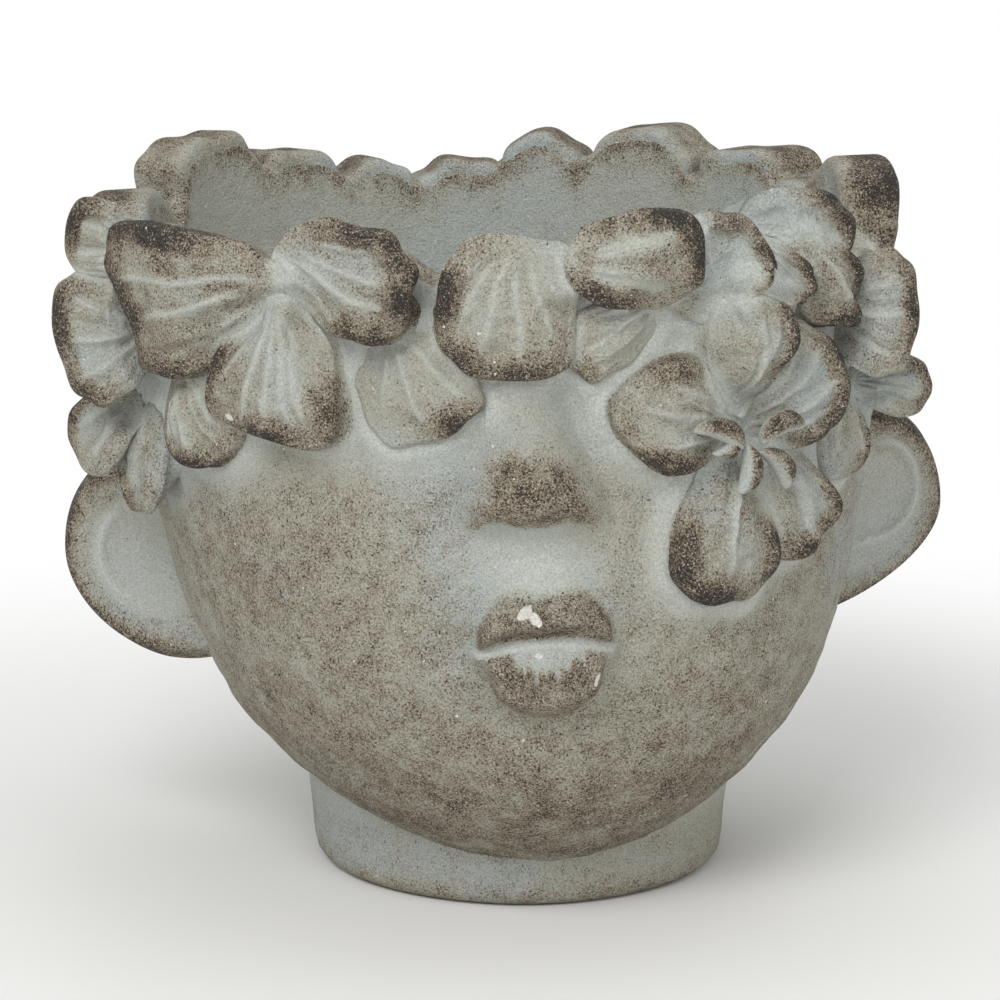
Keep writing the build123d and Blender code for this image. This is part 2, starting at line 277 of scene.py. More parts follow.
class CementFinish(bpy.types.PropertyGroup):
    """Colours and grain size of the rubbed cement."""

    wash: colour_setting("Wash", "Pale wash over the cement", "#A9AFAC")
    warm_wash: colour_setting("Warm wash", "Wash where the sand shows through", "#A8A79A")
    thick_wash: colour_setting("Thick wash", "Wash left thick in the recesses", "#C2C6C0")
    sand: colour_setting("Sand", "Sandy brown of the rubbed cement", "#7F725F")
    deep_sand: colour_setting("Deep sand", "Brown of the most rubbed edges", "#4D463F")
    dark_sand: colour_setting("Dark sand", "Dark grains of the rubbed cement", "#2F2B28")
    pale_sand: colour_setting("Pale sand", "Pale grains of the rubbed cement", "#C6C2B7")
    grain_white: colour_setting("White grain", "White grains of sand", "#DAD7CF")
    grain_size: length_setting("Grain size", "Size of the rubbed speckles", 0.44)
    roughness: FloatProperty(name="Roughness", description="Matt finish", default=0.9, subtype="FACTOR")


def part_way(start, end, value):
    """Share of the way from start to end, kept between 0 and 1."""
    return clip((value - start) / (end - start), 0, 1)


def ramp(low, high, value):
    """Smooth step of an array from 0 at low to 1 at high."""
    t = part_way(low, high, value)
    return t * t * (3 - 2 * t)


def smooth_curve(knots, heights, value):
    """Smooth curve through knots, level beyond its ends."""
    knots, heights = np.asarray(knots, float), np.asarray(heights, float)
    slopes = np.gradient(heights, knots)
    value = clip(value, knots[0], knots[-1])
    cell = clip(np.searchsorted(knots, value) - 1, 0, len(knots) - 2)
    step = knots[cell + 1] - knots[cell]
    t = (value - knots[cell]) / step
    start = (1 + 2 * t) * (1 - t) ** 2 * heights[cell] + t * (1 - t) ** 2 * step * slopes[cell]
    end = t * t * (3 - 2 * t) * heights[cell + 1] + t * t * (t - 1) * step * slopes[cell + 1]
    return start + end


def bell(distance, reach):
    """Soft bump that is 1 at no distance and falls away over its reach."""
    return np.exp(-((distance / reach) ** 2))


def size_of(name):
    """One of the planter's lengths in mm."""
    return getattr(bpy.context.scene.planter_sizes, name) / MM


def lean_at(height):
    """Sideways shift of the leaning head's middle at a height."""
    return -(height - JAW_HEIGHT) * np.tan(bpy.context.scene.planter_sizes.lean)


def head_reach(bearing, height):
    """Distance from the head's middle to its outside at a bearing and height."""
    side, front, back = (smooth_curve(HEAD_SECTIONS[:, 0], HEAD_SECTIONS[:, i], height) for i in (1, 2, 3))
    depth = np.where(cos(bearing) > 0, front, back)
    return 1 / hypot(sin(bearing) / side, cos(bearing) / depth)


def head_point(bearing, height, inset=0):
    """Points on the head's outside, or inside it by an inset along the level."""
    reach = head_reach(bearing, height) - inset
    return stack([lean_at(height) + reach * sin(bearing), -reach * cos(bearing), height], axis=-1)


def head_normal(bearing, height):
    """Outward directions on the head, from small steps round it and up it."""
    turn, rise = 1e-3, 0.05
    across = head_point(bearing + turn, height) - head_point(bearing - turn, height)
    upwards = head_point(bearing, height + rise) - head_point(bearing, height - rise)
    normal = np.cross(across, upwards)
    return normal / np.linalg.norm(normal, axis=-1, keepdims=True)


def bearing_of(places):
    """Bearings of places round the leaning head."""
    return arctan2(places[:, 0] - lean_at(places[:, 2]), -places[:, 1])


def turned(clock, along, across):
    """Distances sideways and upwards on the head, from along and across a piece at a clock angle."""
    return along * sin(clock) - across * cos(clock), along * cos(clock) + across * sin(clock)


def wrap_on_head(bearing, height, clock, along, across, out):
    """Places on the head, from distances along a clock angle, across it and outwards."""
    sideways, upwards = turned(clock, along, across)
    bearings = bearing + sideways / head_reach(array(bearing), array(height, float))
    heights = height + upwards
    return head_point(bearings, heights) + head_normal(bearings, heights) * out[:, None]


def uneven(places, size):
    """Unevenness of hand modelling at places: about -0.5 to 0.5, with lumps of a size."""
    fall, step, layers = 0.9, 2.0, 3
    return array([noise.fractal(Vector(place / size), fall, step, layers) for place in places])


def nearest(points, others):
    """Distance from each point to the nearest of some others."""
    tree = KDTree(len(others))
    for number, place in enumerate(others):
        tree.insert(place, number)
    tree.balance()
    return array([tree.find(point)[2] for point in points])


def vertex_array(verts):
    """Coordinates of bmesh vertices as an array."""
    return array([vert.co for vert in verts])


def move_vertices(verts, places):
    """Move bmesh vertices to new places, given in mm."""
    for vert, place in zip(verts, places):
        vert.co = Vector(place * MM)


def paint(bm, **finish):
    """Keep one number for each vertex under each name, for the material to read."""
    for name, values in finish.items():
        layer = bm.verts.layers.float.new(name)
        for vert, value in zip(bm.verts, values.tolist()):
            vert[layer] = value


def close_seams(bm):
    """Merge the vertices that meet along a sheet's seams."""
    bmesh.ops.remove_doubles(bm, verts=bm.verts, dist=0.01 * MM)


def new_object(bm, name, material):
    """Turn a bmesh into an object of a material."""
    mesh = bpy.data.meshes.new(name)
    bm.to_mesh(mesh)
    bm.free()
    mesh.materials.append(material)
    made = bpy.data.objects.new(name, mesh)
    bpy.context.scene.collection.objects.link(made)
    return made


def finished_piece(bm, name, nodes):
    """Turn a closed bmesh into a smooth cement piece that faces outwards and stands for CAD nodes."""
    bmesh.ops.recalc_face_normals(bm, faces=bm.faces)
    if bm.calc_volume(signed=True) < 0:
        bmesh.ops.reverse_faces(bm, faces=bm.faces)
    piece = new_object(bm, name, rubbed_cement())
    piece.data.shade_smooth()
    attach(piece, BODY)
    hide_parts(*nodes)


def add_node(tree, kind, inputs=(), output=0, **settings):
    """Add a shader node with its settings, give its inputs values or links, and return an output."""
    made = tree.nodes.new("ShaderNode" + kind)
    for key, value in settings.items():
        setattr(made, key, value)
    for key, value in inputs.items() if isinstance(inputs, dict) else enumerate(inputs):
        if isinstance(value, bpy.types.NodeSocket):
            tree.links.new(value, made.inputs[key])
        else:
            made.inputs[key].default_value = value
    return made.outputs[output]


def rubbed_cement():
    """Cast cement under a pale wash that was rubbed off the high spots."""
    # To the eye it is matt and sandy: grey-green in the recesses, brown with dark and pale grains on edges.
    name = "Rubbed cast cement"
    if name in bpy.data.materials:
        return bpy.data.materials[name]
    finish = bpy.context.scene.cement_finish
    material = bpy.data.materials.new(name)
    material.use_nodes = True
    tree = material.node_tree
    shader = tree.nodes["Principled BSDF"]
    node = partial(add_node, tree)
    coords = node("TexCoord", output="Object")
    names = ("wear", "wash", "chip")
    wear, wash, chip = (node("Attribute", output="Fac", attribute_name=key) for key in names)
    # Blotches and grains: size, detail and roughness. The finest sand, under a pixel wide, is drawn coarser,
    # at about 0.4 mm, so that it shows.
    grain, patch, cloud, dots, sand, grit, tooth, plaster = (
        node("TexNoise", {"Vector": coords, "Scale": 1 / size, "Detail": detail, "Roughness": roughness})
        for size, detail, roughness in (
            (finish.grain_size, 2.0, 0.6), (9 * MM, 3.0, 0.55), (32 * MM, 3.0, 0.55),
            (0.45 * MM, 1.0, 0.55), (0.36 * MM, 1.0, 0.55), (0.42 * MM, 1.0, 0.6),
            (0.8 * MM, 4.0, 0.75), (3.2 * MM, 3.0, 0.5),
        )
    )
    # A product then adds its third input. A Map Range goes from inputs 2 and 3 to 4 and 5, or to 0 and 1.
    product = {"operation": "MULTIPLY_ADD"}
    soft = {"interpolation_type": "SMOOTHSTEP"}

    # Rubbed share: it rises with wear, unevenly in patches, and falls in the recesses.
    blotched = node("Math", (patch, plaster), operation="ADD")
    centred = node("Math", (blotched, 1.0), operation="SUBTRACT")
    patchy = node("Math", (wear, 0.8, 0.4), **product)
    rubbed = node("Math", (centred, patchy, wear), **product)
    kept = node("Math", (wash, -0.7, rubbed), **product)
    mottle = node("Math", (kept, 0.5, grain), **product)
    stain = node("MapRange", (mottle, 0.52, 0.88), **soft)
    deep = node("MapRange", (mottle, 0.86, 1.08, 0, 0.8), **soft)

    # Dark and pale grains of sand, and the wash where it is thin or thick.
    dotted = node("Math", (kept, 0.24, dots), **product)
    dark = node("MapRange", (dotted, 0.70, 0.76, 0, 0.9), **soft)
    light = node("MapRange", (sand, 0.59, 0.65), **soft)
    shown = node("Math", (stain, 0.5, 0.25), **product)
    pale = node("Math", (light, shown), operation="MULTIPLY")
    thin = node("Math", (wear, 0.6, cloud), **product)
    tint = node("MapRange", (thin, 0.42, 0.74), **soft)
    thick = node("Math", (wash, 0.8), operation="MULTIPLY")

    # White grains of sand, one in a few cells of a coarse scatter, with ragged edges.
    ragged = node("VectorMath", (dots, (0.9 * MM,) * 3, coords), **product)
    distance = node("TexVoronoi", {"Vector": ragged, "Scale": 1 / (3.4 * MM)})
    chosen = node("SeparateColor", (distance.node.outputs["Color"],))
    size = node("MapRange", (chosen, 0.72, 1.0, 0, 0.11))
    white = node("Math", (distance, size), operation="LESS_THAN")

    # Chips show the white cement inside.
    broken = node("Math", (dots, 0.6, chip), **product)
    chipped = node("MapRange", (broken, 0.78, 0.86), **soft)

    # The coats, from the wash to the loose grains.
    colour = finish.wash
    for share, coat in (
        (tint, finish.warm_wash), (thick, finish.thick_wash), (stain, finish.sand),
        (deep, finish.deep_sand), (pale, finish.pale_sand), (dark, finish.dark_sand),
        (white, finish.grain_white), (chipped, finish.grain_white),
    ):
        colour = node("Mix", {"Factor": share, "A": colour, "B": coat}, 2, data_type="RGBA")
    # A fine grain runs through every coat.
    shade = node("MapRange", (grit, 0.25, 0.75, 0.77, 1.23))
    shaded = node("HueSaturation", {"Value": shade, "Color": colour})
    tree.links.new(shaded, shader.inputs["Base Color"])
    shader.inputs["Roughness"].default_value = finish.roughness
    shader.inputs["Specular IOR Level"].default_value = 0.3

    # Sandy tooth, with the worn grains a little below the wash.
    sunk = node("Math", (stain, -0.25, tooth), **product)
    rough = node("Math", (grit, 1.0, sunk), **product)
    level = node("Math", (plaster, 1.6, rough), **product)
    bump = node("Bump", {"Strength": 0.9, "Distance": 0.35 * MM, "Height": level})
    tree.links.new(bump, shader.inputs["Normal"])
    return material


def petal_edge(angle, petal, rng):
    """A petal's edge, wavy and notched at the tip: its place, crests, and shares at the rim and free."""
    rim = size_of("rim_height")
    tip, side = (np.sign(way) * abs(way) ** petal.blunt for way in (cos(angle), sin(angle)))
    waist = 1 - petal.taper * (1 - tip) / 2
    waist /= np.max(waist * abs(side))
    wave = sum(
        rng.uniform(-EDGE_WAVE, EDGE_WAVE) * cos(lobes * angle + rng.uniform(0, 2 * pi))
        for lobes in EDGE_LOBES
    )
    stretch = 1 + wave - petal.notch * bell(angle, 0.34)
    along = petal.length / 2 * tip * stretch
    across = petal.width / 2 * side * waist * stretch
    sideways, upwards = turned(radians(petal.clock), along, across)
    crest = zeros(len(angle))
    for middle, half, strength in petal.crests:
        apart = np.angle(np.exp(1j * (arctan2(sideways, upwards) - radians(middle))))
        crest = maximum(crest, strength * bell(apart, radians(half)))
    at_rim = ramp(rim - 5, rim + 1, rim - petal.drop + upwards)
    lift = (along + petal.length / 2) * sin(radians(petal.tip_up))
    free = maximum(at_rim, ramp(1, 4, lift))
    return along, across, crest, at_rim, free


def petal_section(turn, petal, reach, crest, at_rim, free):
    """A petal's section from its top to its root: share of the edge's reach, height, and the top's share."""
    wall = size_of("wall")
    round_edge = min(PETAL_EDGE, 0.3 * petal.stand)
    edge_out = petal.stand - CROWN_SHARE * petal.stand
    lines_bowl = at_rim.max() > 0.05 and not petal.tip_up
    sink = wall - INNER_CLEARANCE if lines_bowl else ROOT_DEPTH
    fall = FRONT_FALL if cos(radians(petal.bearing)) > FRONT_COSINE else 0
    flat = 1 - round_edge / reach
    over_edge = part_way(TOP_END, EDGE_END, turn) * pi / 2
    down, under = part_way(EDGE_END, SIDE_END, turn), part_way(SIDE_END, 1, turn)
    share = part_way(0, TOP_END, turn) * flat + (1 - flat) * sin(over_edge)
    out = edge_out - round_edge * (1 - cos(over_edge))

    # On the head the side runs out in a fillet.
    flare = PETAL_SKIRT * (0.8 + 1.2 * (1 - crest)) / reach
    rooted_share = (share + flare * down**2.2) * (1 - under)
    rooted_out = out - (edge_out - round_edge + PETAL_FOOT) * down
    rooted_out -= (sink - PETAL_FOOT) * clip(4 * under, 0, 1)

    # A free edge turns in again to the inside of the bowl.
    inner_end = 0.45
    inner = part_way(0, inner_end, under) * pi / 2
    free_share = share - (fall * down + INNER_ROUND * (1 - cos(inner))) / reach
    free_share *= 1 - part_way(inner_end, 1, under)
    free_out = out - (edge_out - round_edge + sink - INNER_ROUND) * down - INNER_ROUND * sin(inner)

    share = rooted_share + (free_share - rooted_share) * free
    out = rooted_out + (free_out - rooted_out) * free
    return share, out, flat


def petal_veins(turn, along, across, level, petal, rng):
    """Veins of a petal's top, from 0 to 1, and its flutes in mm, which fan out from behind the root."""
    from_root = along + petal.length * 0.57
    spread, distance = arctan2(across, from_root), hypot(across, from_root)
    widest = max(np.max(abs(spread[turn < TOP_END])) * 0.9, 0.3)
    bend = 0.5 * sin(along / 3.3 + rng.uniform(0, 6))
    half_width = 0.75 if petal.groove < 0 else 1.5
    vein = zeros(len(along))
    for number in range(petal.veins):
        middle = widest * (1.7 * (number + 0.5) / petal.veins - 0.85) + rng.uniform(-0.06, 0.06)
        apart = (spread - middle) * distance + bend
        length = ramp(rng.uniform(0.85, 1.0), rng.uniform(0.45, 0.7), level)
        length *= ramp(-0.48, rng.uniform(-0.35, -0.1), along / petal.length)
        vein = maximum(vein, rng.uniform(0.6, 1.0) * length * bell(apart, half_width))
    flutes = zeros(len(along))
    for _ in range(4):
        depth, count, start = rng.uniform(0.12, 0.28), rng.uniform(3, 8), rng.uniform(0, 6)
        flutes += depth * (1 - 2 * abs(sin(spread * count / widest + along / 11 + start)))
    return vein, flutes


def petal_places(unit, petal, rng):
    """Petal coordinates of points on a unit ball: along, across and out, with their turn and finish."""
    turn = np.arccos(clip(unit[:, 2], -1, 1)) / pi
    along, across, crest, at_rim, free = petal_edge(arctan2(unit[:, 1], unit[:, 0]), petal, rng)
    share, out, flat = petal_section(turn, petal, hypot(along, across), crest, at_rim, free)
    along, across = along * share, across * share

    # The top is domed, rolled up at the crests, dished, fluted, veined and low at the root.
    top = ramp(0.74, 0.56, turn)
    level = clip(share / flat, 0, 1)
    vein, flutes = petal_veins(turn, along, across, level, petal, rng)
    lumps = 0.7 * uneven(stack([along, across, out], axis=-1) + rng.uniform(0, 500, 3), 4.5)
    out = out + CROWN_SHARE * petal.stand * (1 - level**2) * (turn < TOP_END)
    out += top * (0.25 + crest) * petal.roll * bell(level - 0.91, 0.12)
    out -= top * petal.cup * clip(1 - (level / 0.86) ** 2, 0, 1)
    out += top * ((flutes + lumps) * ramp(1.0, 0.6, level) - petal.groove * vein)
    out -= top * (1 - petal.root) * petal.stand * ramp(0.15, -0.5, along / petal.length)
    # Away from the crests, an edge that isn't free lies lower.
    low = (1 - crest) * (1 - free) * ramp(0.3, 1, level)
    out -= LOW_EDGE_SHARE * petal.stand * low * (1 - part_way(EDGE_END, SIDE_END, turn))

    # A tipped petal turns up about its root end.
    tipped = radians(petal.tip_up)
    from_root = along + petal.length / 2
    along = from_root * cos(tipped) - out * sin(tipped) - petal.length / 2
    out = from_root * sin(tipped) + out * cos(tipped)

    # It is rubbed along the crests, and washed in the veins and at the root.
    rubbed_edge = ramp(0.26, 0.52, turn) * ramp(0.94, 0.80, turn) * crest
    blotch = 0.14 * sin(along / 4.1 + rng.uniform(0, 6)) * sin(across / 3.7 + rng.uniform(0, 6))
    wear = clip(petal.rubbed + blotch + 1.05 * rubbed_edge, 0, 1.2)
    wash = 0.7 * vein * top * (1 - 0.6 * rubbed_edge)
    wash += (1 - free) * (1 - 0.4 * crest) * ramp(0.72, 0.84, turn)
    chip = zeros(len(turn))
    for middle, beside, half_length, half_width in petal.chips:
        away = hypot((along - middle) / half_length, (across - beside) / half_width)
        chip = maximum(chip, bell(away, 1))
    return along, across, out, turn, {"wear": wear, "wash": clip(wash, 0, 1), "chip": chip * top}


class PLANTER_OT_wreath(bpy.types.Operator):
    """Model each petal and leaf of the wreath"""

    bl_idname = "planter.wreath"
    bl_label = "Wreath"

    def execute(self, context):
        rim = size_of("rim_height")
        drafts = []
        for number, petal in enumerate(WREATH):
            rng = np.random.default_rng(PETAL_SEED + number)
            bearing, clock = radians(petal.bearing), radians(petal.clock)
            bm = bmesh.new()
            around, over = FRONT_STEPS if cos(bearing) > 0 else BACK_STEPS
            bmesh.ops.create_uvsphere(bm, u_segments=around, v_segments=over, radius=1)
            along, across, out, turn, finish = petal_places(vertex_array(bm.verts), petal, rng)
            places = wrap_on_head(bearing, rim - petal.drop, clock, along, across, out)
            drafts.append((petal, bm, places, turn, finish))
            CRESTS[petal.name] = places[turn < 0.8][::2]

        # Where petals meet, the lower one rises in a soft fillet that holds the wash.
        margin = 4
        for petal, bm, places, turn, finish in drafts:
            low, high = places.min(axis=0) - margin, places.max(axis=0) + margin
            others = concatenate([cloud for name, cloud in CRESTS.items() if name != petal.name])
            others = others[np.all((others > low) & (others < high), axis=1)]
            if len(others):
                shown = np.flatnonzero(turn < 0.86)
                near = nearest(places[shown], others)
                outward = head_normal(bearing_of(places[shown]), places[shown, 2])
                places[shown] += outward * (0.3 * bell(near, 1.2))[:, None]
                held = bell(near, 1.6) * clip(1.1 - finish["wear"][shown], 0, 1)
                finish["wash"][shown] = maximum(finish["wash"][shown], held)
            move_vertices(bm.verts, places)
            paint(bm, **finish)
            finished_piece(bm, petal.name.title().replace("_", ""), [petal.name])
        return {"FINISHED"}


class PLANTER_OT_pistil(bpy.types.Operator):
    """Model the curled beads in the hanging flower's heart"""

    bl_idname = "planter.pistil"
    bl_label = "Pistil"

    def execute(self, context):
        bm = bmesh.new()
        tops = []
        for bearing, drop, clock, length, width, stand in PISTIL_BEADS:
            start = len(bm.verts)
            bmesh.ops.create_icosphere(bm, subdivisions=4, radius=1)
            bm.verts.ensure_lookup_table()
            bead = bm.verts[start:]
            x, y, z = vertex_array(bead).T
            along = np.sign(x) * abs(x) ** 0.8 * length / 2
            across = y * width / 2 * (1 + 0.3 * x) - BEAD_BEND * x * x
            out = stand - width / 2 + z * width / 2 * 1.1
            tops.append(0.75 * z + 0.5 * y)
            height = size_of("rim_height") - drop
            places = wrap_on_head(radians(bearing), height, radians(clock), along, across, out)
            move_vertices(bead, places)
        tops = concatenate(tops)
        paint(bm, wear=0.15 + 0.75 * ramp(0.2, 0.85, tops), wash=0.5 * ramp(0.5, 0.0, tops))
        finished_piece(bm, "HangingFlowerPistil", ["hanging_flower_pistil"])
        return {"FINISHED"}


def nose_relief(x, height):
    """Broad soft nose with wings and a hollow underside: its rise, and its rubbed and washed shares."""
    up = height - NOSE_HEIGHT
    rise = size_of("nose_rise") * smooth_curve(*NOSE_RISE, up)
    rise = rise * clip(1 - (x / smooth_curve(*NOSE_HALF_WIDTH, up)) ** 2, 0, 1) ** 1.4
    for side in (-1, 1):
        rise += 1.8 * bell(hypot(x - side * 9.5, (up + 4) * 1.1), 4.8)
        rise -= 1.3 * bell(hypot(x - side * 5, (up + 10) * 1.2), 3.0)
    half = 12.6 - 0.42 * (up + 8)
    underside = -8.8 + 1.2 * bell(abs(x) - 6.5, 2.6) - 0.9 * ramp(8, 12.5, abs(x))
    worn = ramp(half + 3.5, half - 3.5, abs(x)) * ramp(10, 3, up)
    worn *= ramp(underside - 1.2, underside + 1.6, up)
    washed = bell(hypot(x / 1.2, height - 85), 8) * ramp(underside + 0.6, underside - 1, up)
    return rise, 0.68 * worn, washed


def mouth_relief(x, height):
    """Lips with an arched seam on a puckered mound: rise, rubbed and washed shares, seam's ridge, chips."""
    x = x - MOUTH_SHIFT
    wide = abs(x)
    y = height - MOUTH_HEIGHT - x * np.tan(MOUTH_TILT)
    seam = y - MOUTH_ARCH * (1 - clip(x / 13, -1, 1) ** 2)
    closed = ramp(16, 13, wide)
    ridge = closed * bell(seam + 0.2, 0.65)

    # Two lobes above the seam and one below it.
    lobes = clip(0.72 + 0.28 * (bell(x - 6, 5) + bell(x + 6, 5)), 0, 1.05)
    upper_height = UPPER_LIP_HEIGHT * clip(1 - (x / UPPER_LIP_HALF) ** 6, 0, 1) ** 0.45 * lobes
    up = clip(seam / maximum(upper_height, 0.1), 0, 1)
    upper = ramp(0, 0.4, up) * ramp(1, 0.35, up) * ramp(UPPER_LIP_HALF, 12, wide)
    lower_height = LOWER_LIP_HEIGHT * clip(1 - (x / LOWER_LIP_HALF) ** 2, 0, 1) ** 0.5
    down = clip(-seam / maximum(lower_height, 0.1), 0, 1)
    lower = ramp(0, 0.35, down) * ramp(1, 0.6, down) * ramp(LOWER_LIP_HALF, 9, wide)
    comb = np.max([length * bell(x - middle, 0.45) for middle, length in LIP_CREASES], axis=0)
    rise = size_of("lip_rise") * (upper + lower)
    rise += 3.2 * bell(hypot(x / 1.1, y), 18) + 2.6 * bell(seam + 1.6, 2.6) * closed + 0.9 * ridge
    rise -= 0.2 * comb * lower * ramp(0.7, 0.4, down)
    # Dimples beside the mouth.
    rise -= 1.2 * sum(bell(hypot(x + MOUTH_SHIFT - side * 17, y), 5) for side in (-1, 1))

    # The lips are rubbed, but the wash stays in the seam and in a fringe that runs down the lower lip.
    fringe = -seam - 4.2 * clip(1 - (x / 8) ** 2, 0, 1) - 0.9 * comb
    worn_upper = ramp(0.03, 0.1, up) * ramp(1.0, 0.7, up) * ramp(14.6, 12.6, wide)
    worn_lower = ramp(1.0, 0.86, down) * ramp(-0.8, 1.4, fringe) * ramp(13, 10.5, wide)
    worn = 0.74 * maximum(worn_upper, 0.86 * worn_lower)
    pale = closed * ramp(0.5, -0.3, seam) * ramp(0.8, -1.0, fringe) * (lower > 0)
    chip = np.zeros_like(x)
    for middle, level, half_length, half_width, tilt in LIP_CHIPS:
        place = ((x - middle) + 1j * (height - level)) * np.exp(-1j * radians(tilt))
        chip = maximum(chip, bell(hypot(place.real / half_length, place.imag / half_width) ** 2, 1))
    return rise, worn, ridge + 0.3 * pale, ridge, chip


def face_relief(bearing, height):
    """Rise of the face's modelling over the plain head, with its rubbed, washed and chipped shares."""
    x = (bearing - FACE_BEARING) * FACE_RADIUS
    front = abs(bearing) < radians(75)
    nose, worn_nose, washed_nose = nose_relief(x, height)
    mouth, worn_mouth, washed_mouth, ridge, chip = mouth_relief(x, height)
    # Cheeks, chin with the hollow above it, and the groove under the nose.
    soft = 2.2 * sum(bell(hypot(x - side * 43, (height - 60) * 0.9), 24) for side in (-1, 1))
    soft += 2.4 * bell(hypot(x, (height - 36) * 1.2), 15) - bell(hypot(x / 2.2, height - 51), 4.5)
    soft -= 0.9 * bell(x, 3.4) * bell(height - 84, 6)
    worn = maximum(worn_mouth, worn_nose) * (1 - 0.8 * ridge)
    washed = clip(washed_mouth + washed_nose, 0, 1)
    return (nose + mouth + soft) * front, worn * front, washed * front, chip


def rim_heights(bearing):
    """Heights of the rim at bearings: the wall runs up behind each petal to just below its top."""
    rim = size_of("rim_height")
    cloud = concatenate(list(CRESTS.values()))
    high = cloud[cloud[:, 2] > rim - 12]
    cells = 300
    middles = (np.arange(cells) + 0.5) / cells * 2 * pi - pi
    bearings = bearing_of(high)
    cell = ((bearings + pi) / (2 * pi) * cells).astype(int) % cells
    bare = rim - 4 + 5.5 * ramp(0.4, 0.6, cos(middles))
    tops = bare.copy()
    maximum.at(tops, cell, high[:, 2] - np.where(cos(bearings) > FRONT_COSINE, FRONT_FALL, 1.2))
    # At the sides, between the front petals and the back ones, the rim stays bare.
    side = bell(np.degrees(abs(middles)) - 84, 8)
    tops += (bare - tops) * clip(1.6 * side, 0, 1)
    for _ in range(3):
        tops = (np.roll(tops, 1) + 2 * tops + np.roll(tops, -1)) / 4
    return interp(bearing, middles, tops, period=2 * pi)


def outer_wall(bearing, share, top):
    """Outside of the head from chin to rim, with the face and a fillet at each petal."""
    height = CHIN_HEIGHT + share * (top - RIM_ROUND - CHIN_HEIGHT)
    relief, worn, washed, chip = face_relief(bearing, height)
    smooth = head_point(bearing, height)
    outward = head_normal(bearing, height)
    plain = smooth + outward * (relief + 0.5 * uneven(smooth, 11))[:, None]
    near = nearest(plain, concatenate(list(CRESTS.values())))
    places = plain + outward * (2.0 * bell(near, 3.2))[:, None]

    # The cheeks and the jaw are rubbed, the forehead and the lip under the nose less so.
    degrees = np.degrees(bearing)
    jaw = 0.42 * ramp(64, 24, height) * ramp(100, 60, abs(degrees))
    cheek = 0.24 + 0.22 * bell(degrees + 45, 30) * bell(height - 75, 32)
    cheek += 0.12 * bell(degrees - 32, 24) * bell(height - 62, 26)
    cheek *= 1 - 0.75 * bell(hypot((degrees + 1) * 1.2, height - 86), 16)
    cheek *= ramp(120, 98, height + 0.2 * abs(degrees))
    wear = clip(maximum(worn, cheek + jaw * 0.8), 0, 1)
    # The wash stays in a pale line round the petals.
    return places, wear, clip(washed + bell(near, 4.0), 0, 1), chip


# Share of the wash that the inside of the bowl keeps.
INNER_WASH = 0.35


def rim_round(bearing, share, top):
    """The rounded rim, from the outside to the inside."""
    inset = size_of("wall") / 2 * (1 - cos(pi * share))
    height = top - RIM_ROUND + RIM_ROUND * sin(pi * share)
    return head_point(bearing, height, inset), 0.7, INNER_WASH, 0


def inner_wall(bearing, share, top):
    """Inside of the bowl, from the floor's edge to the rim."""
    low = JAW_HEIGHT + FLOOR_ROUND
    height = low + share * (top - RIM_ROUND - low)
    wear = 0.15 + 0.4 * ramp(14, 2, top - height)
    return head_point(bearing, height, size_of("wall")), wear, INNER_WASH, 0


def bowl_floor(bearing, share, top):
    """Floor of the bowl, which dips from its edge to the drain hole."""
    edge = head_point(bearing, np.full(len(bearing), JAW_HEIGHT + FLOOR_ROUND), size_of("wall"))
    hole = stack([sin(bearing), -cos(bearing), edge[:, 2]], axis=-1)
    hole[:, :2] *= size_of("drain_radius")
    places = hole + (edge - hole) * share[:, None]
    places[:, 2] = JAW_HEIGHT + FLOOR_ROUND * share**2
    return places, 0, INNER_WASH, 0


def drain_wall(bearing, share, top):
    """Wall of the drain hole, from the floor down to the chin's underside."""
    drain = size_of("drain_radius")
    height = JAW_HEIGHT - share * (JAW_HEIGHT - CHIN_HEIGHT)
    return stack([drain * sin(bearing), -drain * cos(bearing), height], axis=-1), 0, INNER_WASH, 0


class PLANTER_OT_head(bpy.types.Operator):
    """Model the hollow head with its face and scalloped rim"""

    bl_idname = "planter.head"
    bl_label = "Head"

    def execute(self, context):
        # A level sheet: columns go round the head, closer at the face, and rows run along the wall.
        columns = 380
        face_rows = [linspace(0, 0.30, 36), linspace(0.305, 0.86, 118), linspace(0.865, 1, 20)]
        stretches = {
            outer_wall: concatenate(face_rows),
            rim_round: linspace(0, 1, 14)[1:],
            inner_wall: linspace(1, 0, 40)[1:],
            bowl_floor: linspace(1, 0, 8)[1:],
            drain_wall: linspace(0, 1, 5)[1:],
        }
        row_shares = concatenate(list(stretches.values()))
        row_stretches = np.repeat(np.arange(len(stretches)), [len(rows) for rows in stretches.values()])
        bm = bmesh.new()
        bmesh.ops.create_grid(bm, x_segments=columns, y_segments=len(row_shares) - 1, size=1)
        flat = vertex_array(bm.verts)
        degrees = interp(abs(flat[:, 0]), (0, 0.46, 0.6, 1), (0, 35, 60, 180))
        bearing = np.sign(flat[:, 0]) * radians(degrees)
        row = np.rint((flat[:, 1] + 1) / 2 * (len(row_shares) - 1)).astype(int)
        top = rim_heights(bearing)

        places = zeros((len(flat), 3))
        wear, wash, chip = zeros((3, len(flat)))
        for number, shape in enumerate(stretches):
            here = row_stretches[row] == number
            made = shape(bearing[here], row_shares[row[here]], top[here])
            places[here], wear[here], wash[here], chip[here] = made
        move_vertices(bm.verts, places)
        paint(bm, wear=wear, wash=wash, chip=chip)
        close_seams(bm)
        bmesh.ops.bridge_loops(bm, edges=[edge for edge in bm.edges if edge.is_boundary])
        finished_piece(bm, "Head", ["head_shell", "nose", "upper_lip", "lower_lip"])
        return {"FINISHED"}


